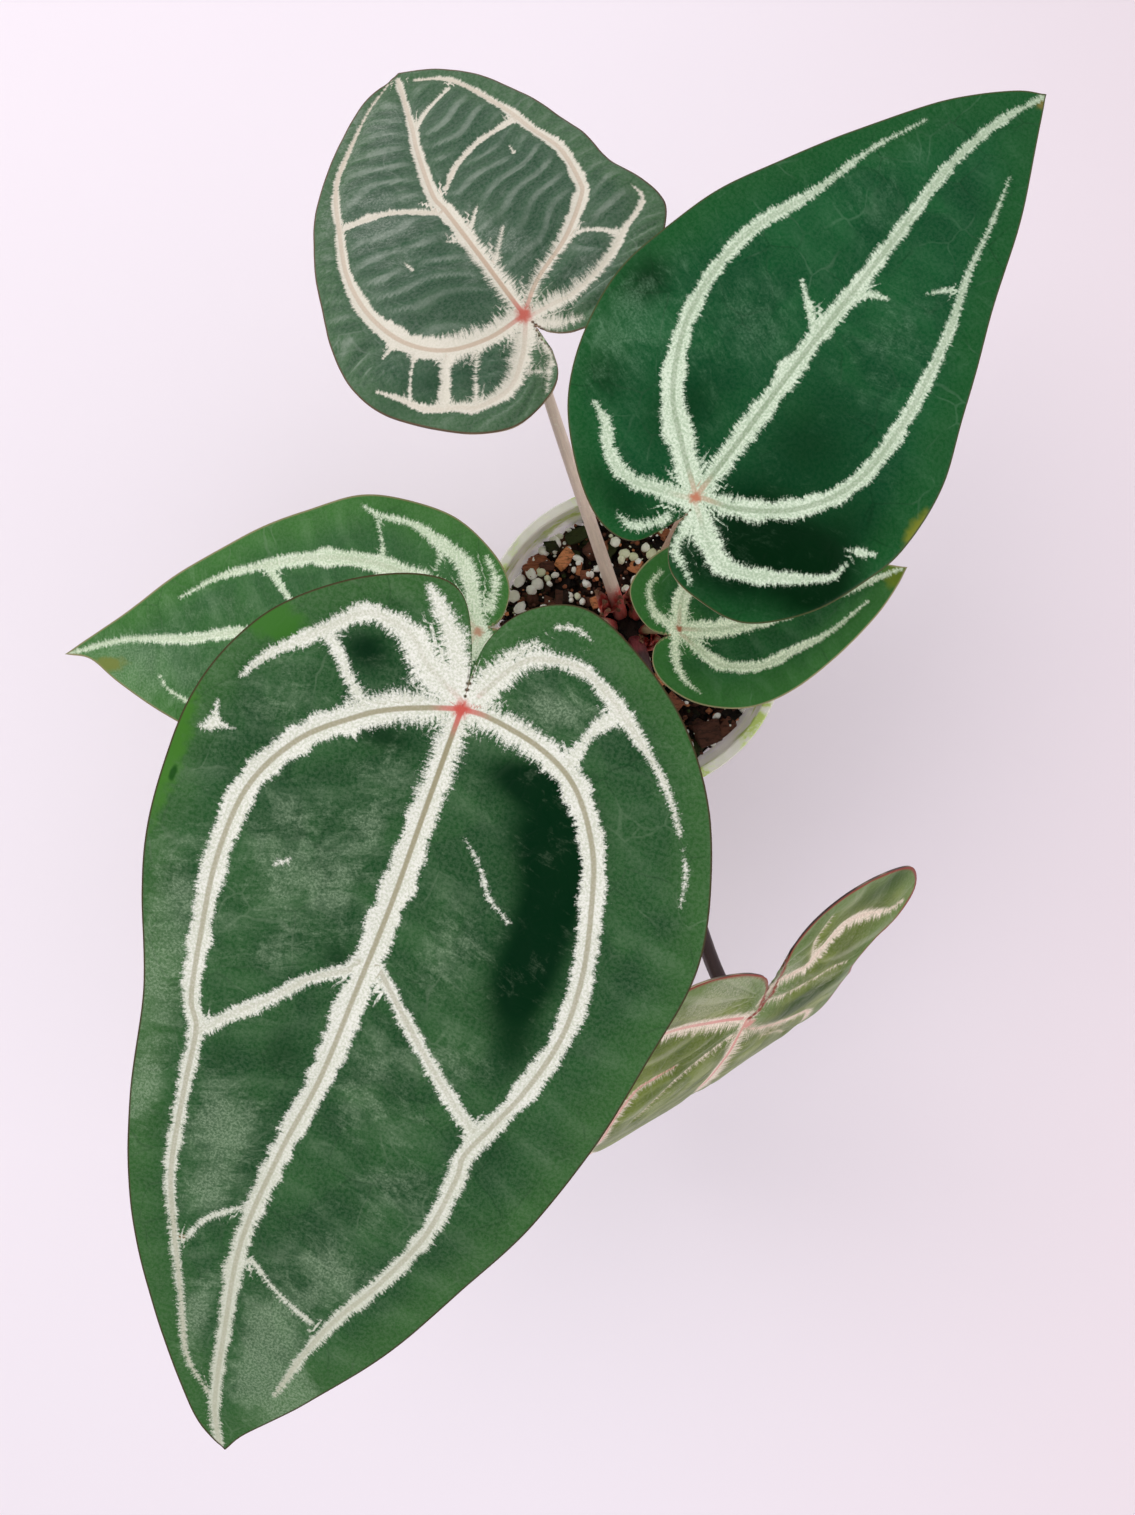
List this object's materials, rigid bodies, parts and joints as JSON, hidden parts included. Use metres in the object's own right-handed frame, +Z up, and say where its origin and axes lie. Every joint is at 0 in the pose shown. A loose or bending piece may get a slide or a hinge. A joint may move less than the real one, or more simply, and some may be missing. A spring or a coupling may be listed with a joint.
{
  "type": "potted anthurium",
  "caption": "House plant with large heart-shaped, silver-veined leaves on upright stalks, in a small clear nursery pot of chunky potting mix.",
  "frame": {"origin": "centre of the pot's flat base, on the surface it stands on", "axes": "+Z up; +X and +Y as seen from straight above with the largest leaf pointing to -Y and slightly to -X"},
  "size_m": [0.2685, 0.366, 0.2036],
  "materials": {
    "clear_plastic": "clear, slightly milky thin plastic with a green algae film inside",
    "potting_mix": "matt, chunky bark with white perlite and a little moss",
    "stem": "matt green-brown with leaf scars",
    "leaf_mature": "velvety green with crystalline silver veins",
    "leaf_dark": "deep green with a soft gloss and silver veins",
    "leaf_grey_green": "quilted grey-green with cream veins",
    "leaf_young": "soft olive green with pinkish beige veins and a red-brown margin",
    "petiole": "smooth pinkish beige to grey-mauve stalk",
    "petiole_young": "smooth dark purple-brown stalk",
    "sheath": "thin papery red scale"
  },
  "bodies": {
    "root": {"pot": "clear_plastic", "potting_mix": "potting_mix", "stem": "stem", "leaf_front": "leaf_mature", "leaf_right": "leaf_dark", "leaf_back": "leaf_grey_green", "leaf_left": "leaf_mature", "leaf_small": "leaf_mature", "leaf_young": "leaf_young", "petiole_front": "petiole", "petiole_right": "petiole", "petiole_back": "petiole", "petiole_left": "petiole", "petiole_small": "petiole", "petiole_young": "petiole_young", "sheath_long": "sheath", "sheath_back": "sheath", "sheath_right": "sheath", "sheath_front": "sheath", "sheath_low": "sheath"}
  },
  "joints": []
}
